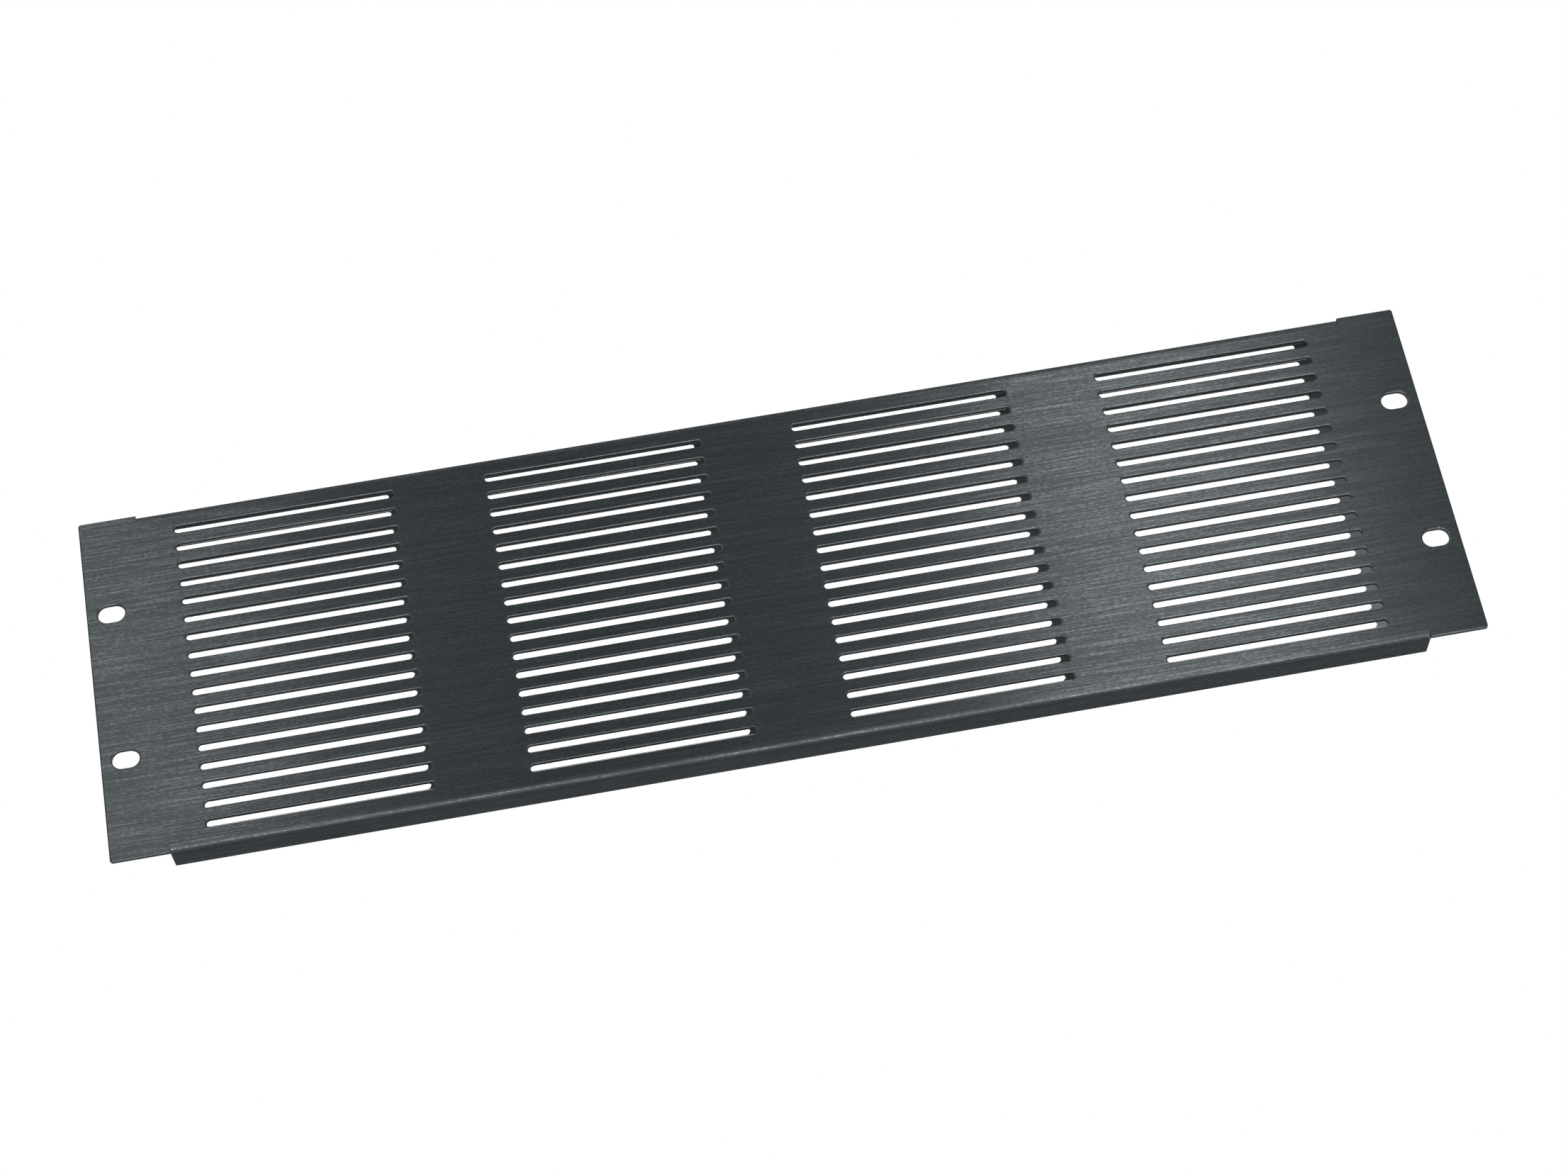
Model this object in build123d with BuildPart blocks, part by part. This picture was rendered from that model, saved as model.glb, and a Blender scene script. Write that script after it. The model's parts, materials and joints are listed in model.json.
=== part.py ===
"""A vented 19-inch rack panel, three units high, folded from one sheet of aluminium.

The frame is the panel as it is mounted, in millimetres: X runs across the rack, +Y into it
and +Z up. The origin is the centre of the four rack slots, on the back face of the sheet,
which is the face that lies against the rack's rails.
"""
import os

from build123d import *

# Front outline
panel_width = 482.6
rack_unit = 44.45
units_high = 3
unit_clearance = 0.85  # what the panel is short of its whole units
corner_radius = 1.0

# Sheet and folds
sheet = 1.6
bend_inside_radius = 1.4
flange_depth = 12.0  # from the front face to the flanges' free edges
ear_length = 20.6  # flat sheet left at each end, which covers the rack's rail
flange_corner_radius = 0.4

# Vent slots
slot_length = 79.0
slot_width = 2.8
column_bar = 33.0  # metal between two columns of slots
row_bar = 4.45  # metal between two rows of slots
slot_end_margin = 10.0  # least metal from a slot's end to the end of the folds
slot_fold_margin = 2.5  # least metal from a slot's side to the start of a fold

# Slots for the rack's screws
rack_slot_inset = 8.75  # from the panel's end to the slot's middle
rack_slot_rise = 57.15  # from the lower slots to the upper ones
rack_slot_length = 9.6
rack_slot_width = 6.8

# Sizes that follow from those above
panel_height = units_high * rack_unit - unit_clearance
bend_outside_radius = bend_inside_radius + sheet
flange_length = panel_width - 2 * ear_length
rack_slot_spacing = panel_width - 2 * rack_slot_inset
front_face = -sheet
flange_edge = front_face + flange_depth
inner_half_height = panel_height / 2 - sheet


def copies_that_fit(room, size, bar):
    """How many copies of a size fit in a row with a bar between each two."""
    return int((room + bar) // (size + bar))


slot_columns = copies_that_fit(flange_length - 2 * slot_end_margin, slot_length, column_bar)
slot_rows = copies_that_fit(
    panel_height - 2 * (bend_outside_radius + slot_fold_margin), slot_width, row_bar
)

# Looking from the front, with the sketch's x along the rack and its y up
front = Plane(origin=(0, front_face, 0), x_dir=(1, 0, 0), z_dir=(0, -1, 0))

with BuildPart() as vent_panel:
    # The channel between the ears: top flange, face and bottom flange, bent from one strip.
    # The line is the strip's inside surface, so the sheet's thickness is laid outside it.
    with BuildSketch(Plane.YZ) as fold_section:
        with BuildLine() as inside:
            FilletPolyline(
                (flange_edge, inner_half_height),
                (0, inner_half_height),
                (0, -inner_half_height),
                (flange_edge, -inner_half_height),
                radius=bend_inside_radius,
            )
            offset(amount=sheet, side=Side.RIGHT)
        make_face()
    extrude(amount=flange_length / 2, both=True)

    # The flat face with its two ears. Between the ears it stops where the folds start.
    with BuildSketch(front) as face:
        RectangleRounded(panel_width, panel_height, corner_radius)
        with GridLocations(0, panel_height, 1, 2):
            Rectangle(flange_length, 2 * bend_outside_radius, mode=Mode.SUBTRACT)
    extrude(amount=-sheet)

    # The free corners of both flanges
    flange_corners = (
        vent_panel.edges()
        .filter_by(Axis.Z)
        .filter_by_position(Axis.Y, flange_edge - 0.01, flange_edge + 0.01)
    )
    fillet(flange_corners, radius=flange_corner_radius)

    # The vent slots
    with BuildSketch(front) as vents:
        with GridLocations(slot_length + column_bar, slot_width + row_bar, slot_columns, slot_rows):
            SlotOverall(slot_length, slot_width)
    extrude(amount=-sheet, mode=Mode.SUBTRACT)

    # The oblong slots for the rack's screws
    with BuildSketch(front) as rack_slots:
        with GridLocations(rack_slot_spacing, rack_slot_rise, 2, 2):
            SlotOverall(rack_slot_length, rack_slot_width)
    extrude(amount=-sheet, mode=Mode.SUBTRACT)

vent_panel.part.label = "vent_panel"

os.makedirs("parts", exist_ok=True)
export_step(vent_panel.part, "parts/vent_panel.step")

print("slots", slot_columns, "by", slot_rows, "solids", len(vent_panel.part.solids()))
print("box", vent_panel.part.bounding_box())
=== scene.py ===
# %% [markdown]
# # A vented blanking panel for a 19-inch rack
# This is one sheet of aluminium, 482.6 mm wide and three rack units high, folded back along its top and
# bottom. Four columns of slots let air through, and four wider slots take the rack screws.
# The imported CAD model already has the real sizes. Blender adds what a size can't say: the soft rim that a
# punch leaves on each opening, the brushed grain, the black anodised finish, and a plain studio.

# %% Load the frame
import json
from math import cos, radians, sin

import bpy
from mathutils import Matrix, Vector

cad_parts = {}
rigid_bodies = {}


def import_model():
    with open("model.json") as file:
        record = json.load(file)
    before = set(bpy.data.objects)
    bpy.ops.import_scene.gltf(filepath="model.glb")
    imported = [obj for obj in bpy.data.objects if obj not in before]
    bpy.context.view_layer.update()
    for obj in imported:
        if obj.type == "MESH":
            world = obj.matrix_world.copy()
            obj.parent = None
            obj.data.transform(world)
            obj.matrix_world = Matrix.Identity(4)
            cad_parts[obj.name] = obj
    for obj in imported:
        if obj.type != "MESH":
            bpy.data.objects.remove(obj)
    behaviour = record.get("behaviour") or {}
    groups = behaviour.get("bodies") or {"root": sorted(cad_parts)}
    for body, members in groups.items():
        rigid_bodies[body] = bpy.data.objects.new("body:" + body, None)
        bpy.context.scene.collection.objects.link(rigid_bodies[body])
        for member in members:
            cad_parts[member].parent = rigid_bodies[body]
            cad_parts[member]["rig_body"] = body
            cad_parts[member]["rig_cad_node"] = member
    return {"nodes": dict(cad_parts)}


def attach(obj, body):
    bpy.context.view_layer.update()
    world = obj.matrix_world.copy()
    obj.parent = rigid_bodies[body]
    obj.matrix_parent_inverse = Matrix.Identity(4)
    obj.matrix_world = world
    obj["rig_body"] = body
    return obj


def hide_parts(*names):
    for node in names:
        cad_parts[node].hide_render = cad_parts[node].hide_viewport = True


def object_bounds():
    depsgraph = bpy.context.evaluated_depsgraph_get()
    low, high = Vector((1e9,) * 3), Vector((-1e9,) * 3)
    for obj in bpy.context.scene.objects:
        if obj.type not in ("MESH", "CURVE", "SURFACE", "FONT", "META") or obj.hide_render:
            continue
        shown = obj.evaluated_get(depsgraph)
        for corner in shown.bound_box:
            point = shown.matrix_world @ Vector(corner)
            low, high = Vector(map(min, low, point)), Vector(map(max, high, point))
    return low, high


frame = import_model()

cad_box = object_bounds()
print("CAD box in metres:", [[round(c, 4) for c in corner] for corner in cad_box])

# %% [markdown]
# ## The camera
# The product picture was taken from in front of the panel, well below its middle, with a longish lens turned
# a little to one side, so that the panel climbs to the right. A camera needs its place, the way it looks and
# which way is up. Three directions at right angles make its rotation.

# %% Camera
CAMERA_PLACE = Vector((-0.0735, -1.0701, -0.5522))
CAMERA_LOOKS = Vector((0.0631, 0.8885, 0.4545)).normalized()
CAMERA_UP = Vector((0.1654, -0.4585, 0.8732))
LENS_MM = 78.35
SENSOR_MM = 36.0
NEAREST_SEEN = 0.05

camera_right = CAMERA_LOOKS.cross(CAMERA_UP).normalized()
camera_up = camera_right.cross(CAMERA_LOOKS)
turn = Matrix((camera_right, camera_up, -CAMERA_LOOKS)).transposed()
bpy.ops.object.camera_add(location=CAMERA_PLACE, rotation=turn.to_euler())
camera = bpy.context.object
camera.name = "studio_camera"
camera.data.lens = LENS_MM
camera.data.sensor_width = SENSOR_MM
camera.data.clip_start = NEAREST_SEEN
bpy.context.scene.camera = camera
print("camera looks along", [round(c, 3) for c in CAMERA_LOOKS])

# %% [markdown]
# ## Working by hand, in code
# Most of Blender's operators act on whatever is selected. So each step starts by deselecting everything and
# making one object active, just as a click in the viewport would. One small helper does that for an object,
# and another picks edges or faces inside it.

# %% Pick an object, or edges and faces in it
def pick(thing):
    """Selects one object alone and makes it the active one."""
    bpy.ops.object.select_all(action="DESELECT")
    thing.select_set(True)
    bpy.context.view_layer.objects.active = thing


def pick_inside(thing, kind, wanted):
    """Selects the edges or the faces for which wanted is true, for editing, and returns how many."""
    bpy.ops.object.mode_set(mode="EDIT")
    bpy.ops.mesh.select_mode(type=kind)
    bpy.ops.mesh.select_all(action="DESELECT")
    bpy.ops.object.mode_set(mode="OBJECT")
    items = thing.data.edges if kind == "EDGE" else thing.data.polygons
    found = [item for item in items if wanted(item)]
    for item in found:
        item.select = True
    bpy.ops.object.mode_set(mode="EDIT")
    return len(found)


cad_panel = frame["nodes"]["vent_panel"]
pick(cad_panel)
print("picked:", bpy.context.object.name, "with", len(cad_panel.data.polygons), "triangles")

# %% [markdown]
# ## The folded sheet
# On the real panel every opening is punched from the front. The punch draws the skin of the sheet down
# with it, so the front rim of each slot is a soft curve half a millimetre wide, while the back rim is nearly
# sharp. That small curve is what catches the light in a thin line above every slot, and further down its
# colour is painted pale as well, a painted highlight along that line.
# The rims could be faked with a darker line in the material, but then they would be wrong from the side.
# Bevelling real edges costs little here, so a copy of the CAD solid is merged into one skin, its flat
# triangles are joined, and only the sharp edges on the front are bevelled. The bevel pulls at the large
# faces between the slots, so the flat front is taken out after it and filled again from rim to rim.

# %% One skin from the CAD solid
MM = 0.001
MERGE_DISTANCE = 0.002 * MM
FLAT_ANGLE = radians(1.0)

bpy.ops.object.duplicate()
panel = bpy.context.object
panel.name = "folded_vent_panel"
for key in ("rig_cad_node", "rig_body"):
    if key in panel:
        del panel[key]
pick(panel)
bpy.ops.object.mode_set(mode="EDIT")
bpy.ops.mesh.select_all(action="SELECT")
bpy.ops.mesh.remove_doubles(threshold=MERGE_DISTANCE)
bpy.ops.mesh.customdata_custom_splitnormals_clear()
bpy.ops.mesh.dissolve_limited(angle_limit=FLAT_ANGLE)
bpy.ops.object.mode_set(mode="OBJECT")
print("merged skin:", len(panel.data.vertices), "points,", len(panel.data.polygons), "faces")

# %% Where the front and the folds are
BEND_RADIUS = 3.0 * MM
EAR_LENGTH = 20.6 * MM
SLACK = 0.1 * MM  # allowed when a place is tested
FRONT_FACE = cad_box[0].y
FOLD_START = cad_box[1].z - BEND_RADIUS - SLACK
FOLD_END = cad_box[1].x - EAR_LENGTH + SLACK


def in_fold(spot):
    """True for a place in the top or the bottom fold, between the ears."""
    return abs(spot.x) < FOLD_END and abs(spot.z) > FOLD_START


print("folds: beyond Z", round(FOLD_START / MM, 2), "mm, up to X", round(FOLD_END / MM, 2), "mm")

# %% Soft front rims
FRONT_RIM = 0.55 * MM
RIM_STEPS = 4
QUARTER_ROUND = 0.5
SHARP_ANGLE = radians(60.0)
FLAT_ENOUGH = 0.001 * MM


def sharp_edges(thing):
    """The edges whose two faces meet at a steep angle."""
    normals_at = {}
    for face in thing.data.polygons:
        for key in face.edge_keys:
            normals_at.setdefault(key, []).append(face.normal)
    pairs = {key: pair for key, pair in normals_at.items() if len(pair) == 2}
    return {key for key, (one, other) in pairs.items() if one.angle(other) > SHARP_ANGLE}


sharp = sharp_edges(panel)


def on_front(edge):
    """True for a sharp edge in the front face, other than the short ones where a fold meets an ear."""
    ends = [panel.data.vertices[i].co for i in edge.vertices]
    in_face = all(abs(end.y - FRONT_FACE) < FLAT_ENOUGH for end in ends)
    at_fold = all(in_fold(end) for end in ends)
    return edge.key in sharp and in_face and not at_fold


count = pick_inside(panel, "EDGE", on_front)
bpy.ops.mesh.bevel(
    offset=FRONT_RIM, segments=RIM_STEPS, profile=QUARTER_ROUND, clamp_overlap=False, loop_slide=False
)
bpy.ops.object.mode_set(mode="OBJECT")
print("front rim edges bevelled:", count)

# %% Flat front filled again
STRAIGHT_AHEAD = -0.999  # the normal's Y of a face that looks straight to the front


def is_flat_front(face):
    """True for a face in the flat front."""
    return face.normal.y < STRAIGHT_AHEAD and abs(face.center.y - FRONT_FACE) < FLAT_ENOUGH


flat_faces = pick_inside(panel, "FACE", is_flat_front)
bpy.ops.mesh.delete(type="FACE")
bpy.ops.mesh.select_mode(type="EDGE")
bpy.ops.mesh.select_non_manifold(extend=False)
bpy.ops.mesh.fill()
bpy.ops.mesh.select_all(action="SELECT")
bpy.ops.mesh.normals_make_consistent(inside=False)
bpy.ops.object.mode_set(mode="OBJECT")
print("flat front faces before:", flat_faces, "and panel faces now:", len(panel.data.polygons))

# %% [markdown]
# ## Grain direction and smooth shading
# The sheet was brushed lengthwise before it was punched and folded, so the grain runs along the panel on
# the face and on round both folds. A UV map whose U runs lengthwise tells the shader which way that is. A
# cube projection gives exactly this for a shape made of flat faces.
# Smooth shading makes the small facets of the folds and rims one curve. Weighted normals keep the large
# flat faces nearly flat beside them. The front is the largest mirror here and would still show the least
# bend, so its normals are then set straight from its faces.

# %% UV map and normals
UV_CUBE_SIDE = 1.0
SMOOTH_ANGLE = radians(40.0)
LARGE_FACES_FIRST = 100

pick(panel)
bpy.ops.object.mode_set(mode="EDIT")
bpy.ops.mesh.select_all(action="SELECT")
bpy.ops.uv.cube_project(cube_size=UV_CUBE_SIDE, correct_aspect=False, scale_to_bounds=False)
bpy.ops.object.mode_set(mode="OBJECT")
panel.data.uv_layers.active.name = "grain_direction"
bpy.ops.object.shade_smooth_by_angle(angle=SMOOTH_ANGLE)
flatten = panel.modifiers.new("flat faces stay flat", "WEIGHTED_NORMAL")
flatten.keep_sharp = True
flatten.weight = LARGE_FACES_FIRST
bpy.ops.object.modifier_apply(modifier=flatten.name)
flat_faces = pick_inside(panel, "FACE", is_flat_front)
bpy.ops.mesh.set_normals_from_faces()
bpy.ops.object.mode_set(mode="OBJECT")
print("flat front faces kept flat:", flat_faces)
print("panel:", len(panel.data.polygons), "faces, UV map", panel.data.uv_layers.active.name)

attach(panel, "root")
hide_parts("vent_panel")

# %% [markdown]
# ## Black anodised aluminium, brushed
# Anodising grows a hard layer of oxide on the metal, and a dye turns it black. Under it the brushed grain
# still shows, so the finish isn't flat black but a dark, slightly blue satin grey that mirrors bright things
# in soft bands across the grain.
# The shader is a metal whose own colour is very dark. Anisotropy stretches its highlights across the grain,
# which is what makes the upright bands. Noise stretched along the sheet draws the grain itself, in colour,
# in roughness and as a very shallow bump.
# Colours are written as for the web, and a helper turns them into the linear values that shaders count in.
# A second helper adds a shader node with its settings and links, and a third starts an empty material.

# %% Colours and nodes
ANODISED_DARK = "#282d2f"
ANODISED_LIGHT = "#40474b"


def colour(code):
    """A colour such as #2b2f33 as linear red, green, blue and alpha."""
    parts = [int(code[i : i + 2], 16) / 255 for i in (1, 3, 5)]
    linear = [c / 12.92 if c <= 0.04045 else ((c + 0.055) / 1.055) ** 2.4 for c in parts]
    return (*linear, 1.0)


def add_node(tree, kind, settings=None, values=None, links=None):
    """Adds one node, sets its options and its sockets, and joins other nodes' outputs to its inputs."""
    node = tree.nodes.new(kind)
    for name, setting in (settings or {}).items():
        setattr(node, name, setting)
    for socket, value in (values or {}).items():
        node.inputs[socket].default_value = value
    for socket, output in (links or {}).items():
        tree.links.new(output, node.inputs[socket])
    return node


def new_material(name):
    """An empty node material, its node tree and its output node."""
    material = bpy.data.materials.new(name)
    material.use_nodes = True
    material.node_tree.nodes.clear()
    output = material.node_tree.nodes.new("ShaderNodeOutputMaterial")
    return material, material.node_tree, output


print("darkest grain in linear light:", [round(c, 4) for c in colour(ANODISED_DARK)])

# %% Grain pattern
GRAIN_WIDTH = 0.42 * MM  # real brush lines are finer, but wouldn't show in a picture
DASH_LENGTH = 1.6 * MM
HAIRLINE_LENGTH = 25 * MM
LONG_BAND_LENGTH = 240 * MM
LONG_BAND_WIDTH = 5 * MM
HAIRLINE_SHARE = 0.5
LONG_BAND_SHARE = 0.12

anodised, tree, output = new_material("black_anodised_brushed_aluminium")
place = add_node(tree, "ShaderNodeTexCoord")


def streaks(length, width, detail):
    """Noise drawn out along the sheet: one grain line is length long and width wide."""
    stretched = add_node(
        tree,
        "ShaderNodeMapping",
        values={"Scale": (1 / length, 1 / width, 1 / width)},
        links={"Vector": place.outputs["Object"]},
    )
    noise = add_node(
        tree,
        "ShaderNodeTexNoise",
        values={"Scale": 1.0, "Detail": detail, "Roughness": 0.5},
        links={"Vector": stretched.outputs["Vector"]},
    )
    return noise.outputs["Fac"]


dashes = streaks(DASH_LENGTH, GRAIN_WIDTH, detail=2.0)
hairlines = streaks(HAIRLINE_LENGTH, GRAIN_WIDTH, detail=1.0)
long_bands = streaks(LONG_BAND_LENGTH, LONG_BAND_WIDTH, detail=2.0)
grain = add_node(
    tree,
    "ShaderNodeMix",
    {"data_type": "FLOAT"},
    {"Factor": HAIRLINE_SHARE},
    {"A": dashes, "B": hairlines},
)
mixed = add_node(
    tree,
    "ShaderNodeMix",
    {"data_type": "FLOAT"},
    {"Factor": LONG_BAND_SHARE},
    {"A": grain.outputs["Result"], "B": long_bands},
)
print("grain lines:", round(GRAIN_WIDTH / MM, 2), "mm wide, in", len(tree.nodes), "nodes so far")

# %% Anodised finish on the grain
DARK_LEVEL = 0.46  # grain noise of this level or less is the darkest and roughest
LIGHT_LEVEL = 0.74
GLOSSY_LEVEL = 0.66
GRAIN_ROUGH = 0.31
GRAIN_GLOSSY = 0.20
GRAIN_DEPTH = 0.01 * MM
EDGE_TINT = (0.59, 0.59, 0.59, 1.0)  # holds down what the metal mirrors at a flat angle

tint = add_node(tree, "ShaderNodeValToRGB", links={"Fac": mixed.outputs["Result"]})
tint.color_ramp.elements[0].position = DARK_LEVEL
tint.color_ramp.elements[0].color = colour(ANODISED_DARK)
tint.color_ramp.elements[1].position = LIGHT_LEVEL
tint.color_ramp.elements[1].color = colour(ANODISED_LIGHT)
gloss = add_node(
    tree,
    "ShaderNodeMapRange",
    values={"From Min": DARK_LEVEL, "From Max": GLOSSY_LEVEL, "To Min": GRAIN_ROUGH, "To Max": GRAIN_GLOSSY},
    links={"Value": mixed.outputs["Result"]},
)
relief = add_node(
    tree,
    "ShaderNodeBump",
    values={"Strength": 0.25, "Distance": GRAIN_DEPTH},
    links={"Height": grain.outputs["Result"]},
)
along = add_node(tree, "ShaderNodeTangent", {"direction_type": "UV_MAP", "uv_map": "grain_direction"})
skin = add_node(
    tree,
    "ShaderNodeBsdfPrincipled",
    values={
        "Metallic": 1.0,
        "Specular Tint": EDGE_TINT,
        "Anisotropic": 0.92,
        "Anisotropic Rotation": 0.25,
    },
    links={
        "Base Color": tint.outputs["Color"],
        "Roughness": gloss.outputs["Result"],
        "Normal": relief.outputs["Normal"],
        "Tangent": along.outputs["Tangent"],
    },
)
tree.links.new(skin.outputs["BSDF"], output.inputs["Surface"])
panel.data.materials.clear()
panel.data.materials.append(anodised)
print("material:", anodised.name, "with", len(tree.nodes), "nodes")

# %% [markdown]
# ## Cut walls with painted shade, and rims with a painted highlight
# Where the punch and the shear went through the sheet, the metal was torn rather than brushed, so those walls
# are rougher. Their colour is painted almost black as painted shade, for the shade inside the vent slots and
# on the flanges' edges. The walls of the outline and of the rack slots keep the finish of the face.
# The rims between the face and a wall are painted pale instead: a painted highlight, a fine line along the
# outline and every opening, on top of what the bevel catches of the lamps. Walls and rims have a pitted
# noise and no grain direction, so one function makes both. The faces are picked by where they lie and which
# way they face.

# %% Cut edge materials
# Wall colours: painted shade, darker than the face for the shade in the slots. Rim colours: a painted
# highlight.
WALL_SHADE_COLOURS = ("#181d1f", "#282e31")
WALL_ROUGHNESS = 0.5
RIM_HIGHLIGHT_COLOURS = ("#3e4447", "#5b6366")
RIM_ROUGHNESS = 0.35
PIT_SIZE = 0.4 * MM  # coarser than the real pits, so that they show
PIT_DEPTH = 0.03 * MM
PIT_DARK_LEVEL = 0.3
PIT_LIGHT_LEVEL = 0.7
PITTED_EDGE_TINT = (0.6, 0.6, 0.6, 1.0)


def pitted_metal(name, darkest, lightest, roughness):
    """Anodised metal without a grain: small pits and specks between two colours."""
    material, tree, output = new_material(name)
    place = add_node(tree, "ShaderNodeTexCoord")
    pits = add_node(
        tree,
        "ShaderNodeTexNoise",
        values={"Scale": 1 / PIT_SIZE, "Detail": 3.0, "Roughness": 0.6},
        links={"Vector": place.outputs["Object"]},
    )
    tint = add_node(tree, "ShaderNodeValToRGB", links={"Fac": pits.outputs["Fac"]})
    tint.color_ramp.elements[0].position = PIT_DARK_LEVEL
    tint.color_ramp.elements[0].color = colour(darkest)
    tint.color_ramp.elements[1].position = PIT_LIGHT_LEVEL
    tint.color_ramp.elements[1].color = colour(lightest)
    relief = add_node(
        tree,
        "ShaderNodeBump",
        values={"Strength": 0.4, "Distance": PIT_DEPTH},
        links={"Height": pits.outputs["Fac"]},
    )
    skin = add_node(
        tree,
        "ShaderNodeBsdfPrincipled",
        values={"Metallic": 1.0, "Roughness": roughness, "Specular Tint": PITTED_EDGE_TINT},
        links={"Base Color": tint.outputs["Color"], "Normal": relief.outputs["Normal"]},
    )
    tree.links.new(skin.outputs["BSDF"], output.inputs["Surface"])
    return material


# The dark walls are painted shade and the pale rims a painted highlight.
panel.data.materials.append(pitted_metal("sheared_wall_painted_shade", *WALL_SHADE_COLOURS, WALL_ROUGHNESS))
panel.data.materials.append(pitted_metal("rim_painted_highlight", *RIM_HIGHLIGHT_COLOURS, RIM_ROUGHNESS))
print("materials:", [m.name for m in panel.data.materials])

# %% Which faces were cut and which are rims
SHADED_WALL_INDEX = 1
HIGHLIGHT_RIM_INDEX = 2

# Limits on how much of a face's normal lies along one axis
HIGHLIGHT_RIM_Y = 0.8
SLOT_WALL_Y = 0.2
FLANGE_END_X = 0.9
FREE_EDGE_Y = 0.7


def is_highlight_rim(face):
    """True for the steeper part of a front rim."""
    in_rim = FRONT_FACE < face.center.y < FRONT_FACE + FRONT_RIM
    return in_rim and not in_fold(face.center) and abs(face.normal.y) < HIGHLIGHT_RIM_Y


def is_shaded_wall(face):
    """True for a vent slot's wall, a flange's end or its free edge."""
    spot = face.center
    at_vents = abs(spot.x) < FOLD_END and abs(spot.z) < FOLD_START
    slot_wall = at_vents and FRONT_FACE < spot.y < 0 and abs(face.normal.y) < SLOT_WALL_Y
    flange_end = spot.y > 0 and abs(face.normal.x) > FLANGE_END_X
    free_edge = spot.y > cad_box[1].y - SLACK and face.normal.y > FREE_EDGE_Y
    return slot_wall or flange_end or free_edge


# Front rims get the painted highlight; vent slot walls and flange edges get the painted shade.
for face in panel.data.polygons:
    if is_highlight_rim(face):
        face.material_index = HIGHLIGHT_RIM_INDEX
    elif is_shaded_wall(face):
        face.material_index = SHADED_WALL_INDEX
used = [face.material_index for face in panel.data.polygons]
print("faces of each material:", [used.count(index) for index in range(len(panel.data.materials))])

# %% [markdown]
# ## The studio
# Close behind the panel was something white, on which each slot's right end throws a shadow. Seventeen
# paper strips between the folds stand in for it, one for each row of slots, just where the camera looks
# through. They face the front only and leave gaps, so from above and from behind the slots are as open as
# they really are. The paper glows faintly towards its lower right corner, a painted light that stands in for
# light bounced there, so the shadows are paler there.
# The camera stands lower than the panel, so the floor under the panel is one-sided too. It is seen from
# above, with the panel's shadow on it, and never from below. The room around is white, for the camera and
# for mirrors.

# %% One-sided paper
WHITE_CODE = "#ffffff"
# The paper's faint glow towards its lower right corner is painted light, standing in for bounced light.
PAINTED_GLOW_COLOUR = "#eef7ff"
PAINTED_GLOW_STRENGTH = 0.135
PAINTED_GLOW_STARTS = (130 * MM, 42 * MM)  # X and Z from where it grows
PAINTED_GLOW_FULL = (190 * MM, -58 * MM)  # X and Z where it is strongest


def one_sided(name, code, glow=None):
    """A matt colour that is seen from the front and clear from behind. Mirrors see white in its place.

    glow(tree, position), if given, returns the strength of a faint light of its own.
    """
    material, tree, output = new_material(name)
    rays = add_node(tree, "ShaderNodeLightPath")
    faces = add_node(tree, "ShaderNodeNewGeometry")
    matt = add_node(tree, "ShaderNodeBsdfDiffuse", values={"Color": colour(code)})
    if glow:
        strength = glow(tree, faces.outputs["Position"])
        faint = add_node(
            tree, "ShaderNodeEmission", values={"Color": colour(PAINTED_GLOW_COLOUR)}, links={"Strength": strength}
        )
        matt = add_node(tree, "ShaderNodeAddShader", links={0: matt.outputs[0], 1: faint.outputs[0]})
    white = add_node(tree, "ShaderNodeEmission", values={"Color": colour(WHITE_CODE), "Strength": 1.0})
    clear = add_node(tree, "ShaderNodeBsdfTransparent")
    mirrored = add_node(
        tree,
        "ShaderNodeMath",
        {"operation": "MAXIMUM"},
        links={0: rays.outputs["Is Glossy Ray"], 1: rays.outputs["Is Transmission Ray"]},
    )
    front = add_node(
        tree,
        "ShaderNodeMixShader",
        links={0: mirrored.outputs[0], 1: matt.outputs[0], 2: white.outputs[0]},
    )
    both = add_node(
        tree,
        "ShaderNodeMixShader",
        links={0: faces.outputs["Backfacing"], 1: front.outputs[0], 2: clear.outputs[0]},
    )
    tree.links.new(both.outputs[0], output.inputs["Surface"])
    return material


def painted_bounce_glow(tree, position):
    """The strength of the paper's painted glow, which stands in for light bounced to its lower right corner.
    """
    start_x, start_z = PAINTED_GLOW_STARTS
    full_x, full_z = PAINTED_GLOW_FULL
    parts = add_node(tree, "ShaderNodeSeparateXYZ", links={"Vector": position})
    to_the_right = add_node(
        tree,
        "ShaderNodeMapRange",
        values={"From Min": start_x, "From Max": full_x},
        links={"Value": parts.outputs["X"]},
    )
    downward = add_node(
        tree,
        "ShaderNodeMapRange",
        values={"From Min": start_z, "From Max": full_z, "To Max": PAINTED_GLOW_STRENGTH},
        links={"Value": parts.outputs["Z"]},
    )
    both = add_node(
        tree,
        "ShaderNodeMath",
        {"operation": "MULTIPLY"},
        links={0: to_the_right.outputs["Result"], 1: downward.outputs["Result"]},
    )
    return both.outputs[0]


paper = one_sided("white_paper", WHITE_CODE, painted_bounce_glow)
print("material:", paper.name, "with", len(paper.node_tree.nodes), "nodes")

# %% Paper strips
STRIP_ROWS = 17
STRIP_LENGTH = 441.2 * MM
STRIP_HEIGHT = 3.1 * MM
STRIP_PITCH = 7.318 * MM
STRIP_RISE = 5.15 * MM  # above the rows of slots, as the camera looks up through them
STRIP_INSET = 1.1 * MM  # in front of the flanges' free edges
STRIP_TILT = radians(0.97)


def stage_plane(name, size, place, turned, material):
    """A flat plane that is part of the studio and not of the panel."""
    bpy.ops.object.select_all(action="DESELECT")
    bpy.ops.mesh.primitive_plane_add(size=1.0, location=place, rotation=turned)
    plane = bpy.context.object
    plane.name = name
    plane.scale = (*size, 1.0)
    bpy.ops.object.transform_apply(location=True, rotation=True, scale=True)
    plane.data.materials.append(material)
    return plane


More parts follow.
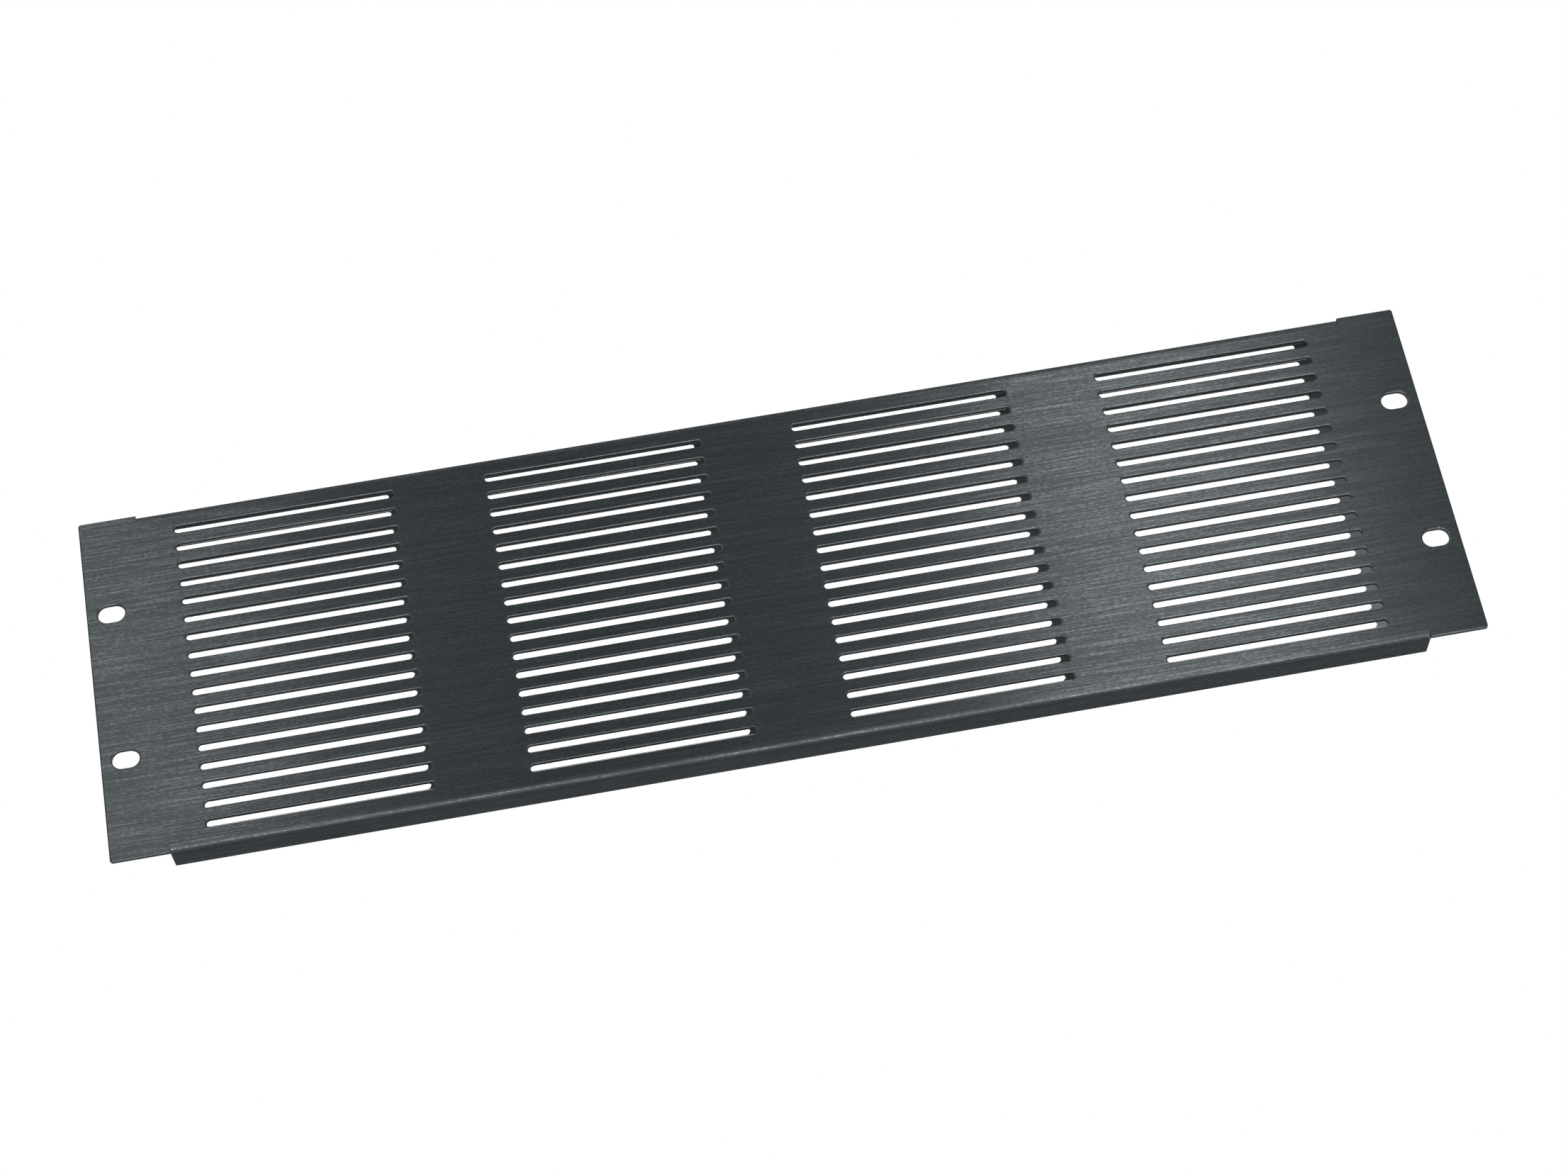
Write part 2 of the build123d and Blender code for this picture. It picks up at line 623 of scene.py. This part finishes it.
up_the_strips = Vector((0.0, sin(STRIP_TILT), cos(STRIP_TILT)))
middle = Vector((0.0, cad_box[1].y - STRIP_INSET, 0.0))
lowest = middle + up_the_strips * (STRIP_RISE - STRIP_PITCH * (STRIP_ROWS - 1) / 2)
stood_up = (radians(90) - STRIP_TILT, 0, 0)
strips = stage_plane("paper_strips", (STRIP_LENGTH, STRIP_HEIGHT), lowest, stood_up, paper)
rows = strips.modifiers.new("one strip for each row", "ARRAY")
rows.use_relative_offset = False
rows.use_constant_offset = True
rows.constant_offset_displace = up_the_strips * STRIP_PITCH
rows.count = STRIP_ROWS
bpy.ops.object.modifier_apply(modifier=rows.name)
print("paper strips:", len(strips.data.polygons))

# %% Floor
FLOOR_COLOUR = "#f3f3f2"
FLOOR_SIDE = 30.0
FLOOR_GAP = 0.2 * MM

under_the_panel = (0, 0, cad_box[0].z - FLOOR_GAP)
pale = one_sided("pale_floor", FLOOR_COLOUR)
floor = stage_plane("floor", (FLOOR_SIDE, FLOOR_SIDE), under_the_panel, (0, 0, 0), pale)
floor.visible_shadow = False
floor.visible_diffuse = False
floor.visible_glossy = False
print("floor:", FLOOR_SIDE, "m across,", round(FLOOR_GAP / MM, 2), "mm under the panel")

# %% White room
FILL_STRENGTH = 0.08

world = bpy.data.worlds.new("soft_room")
bpy.context.scene.world = world
world.use_nodes = True
tree = world.node_tree
tree.nodes.clear()
rays = add_node(tree, "ShaderNodeLightPath")
seen = add_node(
    tree,
    "ShaderNodeMath",
    {"operation": "MAXIMUM"},
    links={0: rays.outputs["Is Camera Ray"], 1: rays.outputs["Is Glossy Ray"]},
)
shown = add_node(
    tree,
    "ShaderNodeMath",
    {"operation": "MAXIMUM"},
    links={0: seen.outputs[0], 1: rays.outputs["Is Transmission Ray"]},
)
fill = add_node(tree, "ShaderNodeBackground", values={"Color": colour(WHITE_CODE), "Strength": FILL_STRENGTH})
white = add_node(tree, "ShaderNodeBackground", values={"Color": colour(WHITE_CODE), "Strength": 1.0})
both = add_node(
    tree,
    "ShaderNodeMixShader",
    links={0: shown.outputs[0], 1: fill.outputs[0], 2: white.outputs[0]},
)
add_node(tree, "ShaderNodeOutputWorld", links={"Surface": both.outputs[0]})
print("room:", world.name, "with", len(tree.nodes), "nodes")

# %% [markdown]
# ## The lamps
# One small lamp stands far off, low and to the right. It lights the paper strips and throws the crisp
# shadow at the right end of each slot.
# Two tall soft boxes give the metal something bright to mirror: the left one lights the left end of the
# panel, the right one the third and fourth columns. A low strip draws the thin line of light along the
# lower fold and the rims above it, and a box overhead does the same for the upper fold. They are a little
# warm, because the black dye is blue. A soft skylight from above and behind lights the floor and the
# panel's shadow on it.

# %% Key lamp
KEY_PLACE = Vector((1.44, -7.30, -3.65))
KEY_BEAM = radians(5.7)
KEY_BEAM_EDGE = 0.2
KEY_POWER = 3550.0
KEY_RADIUS = 0.11

bpy.ops.object.light_add(type="SPOT", location=KEY_PLACE)
key = bpy.context.object
key.name = "key_lamp"
key.rotation_euler = (-KEY_PLACE).to_track_quat("-Z", "Y").to_euler()
key.data.spot_size = KEY_BEAM
key.data.spot_blend = KEY_BEAM_EDGE
key.data.energy = KEY_POWER
key.data.shadow_soft_size = KEY_RADIUS
key.visible_glossy = False
print("key lamp:", round(KEY_PLACE.length, 2), "m away")

# %% Soft boxes
BOX_WARMTH = (1.0, 0.88, 0.84)


def soft_box(name, place, aim, size, power):
    """A rectangular lamp at place, turned to aim, that is seen only as a reflection in the metal."""
    bpy.ops.object.light_add(type="AREA", location=place)
    lamp = bpy.context.object
    lamp.name = name
    lamp.data.shape = "RECTANGLE"
    lamp.data.size, lamp.data.size_y = size
    lamp.data.energy = power
    lamp.data.color = BOX_WARMTH
    lamp.rotation_euler = (Vector(aim) - Vector(place)).to_track_quat("-Z", "Y").to_euler()
    lamp.visible_camera = False
    lamp.visible_diffuse = False


soft_box("left_soft_box", place=(-0.60, -1.50, 0.0), aim=(-0.20, 0.0, 0.0), size=(0.55, 3.0), power=18.0)
soft_box("right_soft_box", place=(0.43, -1.50, 0.0), aim=(0.13, 0.0, 0.0), size=(0.26, 3.0), power=14.5)
soft_box("low_strip", place=(0.05, -0.55, -0.85), aim=(0.0, 0.0, -0.05), size=(1.6, 0.22), power=18.0)
soft_box("overhead_box", place=(0.0, -0.35, 1.45), aim=(0.0, 0.0, 0.05), size=(2.4, 0.6), power=9.0)
lamps = [thing for thing in bpy.context.scene.objects if thing.type == "LIGHT"]
print("soft boxes:", [lamp.name for lamp in lamps if lamp.data.type == "AREA"])

# %% Skylight
SKY_TURN = (radians(-24), radians(14), 0.0)
SKY_STRENGTH = 3.45
SKY_SPREAD = radians(25.0)

bpy.ops.object.light_add(type="SUN", location=(0.0, 1.0, 2.0), rotation=SKY_TURN)
sky = bpy.context.object
sky.name = "soft_skylight"
sky.data.energy = SKY_STRENGTH
sky.data.angle = SKY_SPREAD
sky.visible_glossy = False

# %% [markdown]
# ## Colour view
# The colours are shown plainly, with no film look.

# %% Finish
bpy.context.scene.view_settings.view_transform = "Standard"
